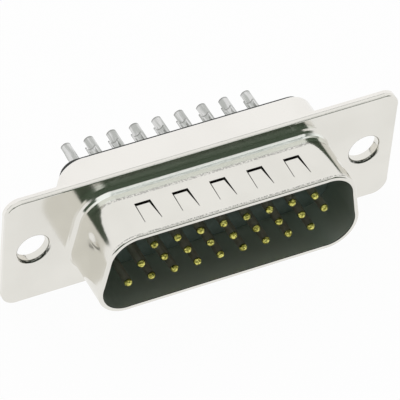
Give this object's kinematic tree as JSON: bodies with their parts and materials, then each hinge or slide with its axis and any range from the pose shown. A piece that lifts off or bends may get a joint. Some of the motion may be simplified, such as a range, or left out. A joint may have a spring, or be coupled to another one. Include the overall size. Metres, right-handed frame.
{
  "type": "d-sub connector",
  "caption": "High-density D-shaped plug connector with a metal shell, a drilled flange, three staggered rows of pins and solder cups behind.",
  "frame": {"origin": "midway between the two mounting holes, on the front face of the flange", "axes": "+X along the connector, -Y the way the pins point, +Z towards the narrow side of the D"},
  "size_m": [0.0392, 0.0167, 0.0126],
  "materials": {
    "plated_steel": "bright tin or nickel plating on stamped steel, smooth and near mirror, slightly warm",
    "black_plastic": "glass-filled moulding, satin black",
    "gold_contact": "gold plate on the pins, paler tinned finish on the solder cups"
  },
  "bodies": {
    "root": {"front_shell": "plated_steel", "rear_shell": "plated_steel", "front_insulator": "black_plastic", "rear_insulator": "black_plastic", "contact_01": "gold_contact", "contact_02": "gold_contact", "contact_03": "gold_contact", "contact_04": "gold_contact", "contact_05": "gold_contact", "contact_06": "gold_contact", "contact_07": "gold_contact", "contact_08": "gold_contact", "contact_09": "gold_contact", "contact_10": "gold_contact", "contact_11": "gold_contact", "contact_12": "gold_contact", "contact_13": "gold_contact", "contact_14": "gold_contact", "contact_15": "gold_contact", "contact_16": "gold_contact", "contact_17": "gold_contact", "contact_18": "gold_contact", "contact_19": "gold_contact", "contact_20": "gold_contact", "contact_21": "gold_contact", "contact_22": "gold_contact", "contact_23": "gold_contact", "contact_24": "gold_contact", "contact_25": "gold_contact", "contact_26": "gold_contact"}
  },
  "joints": []
}
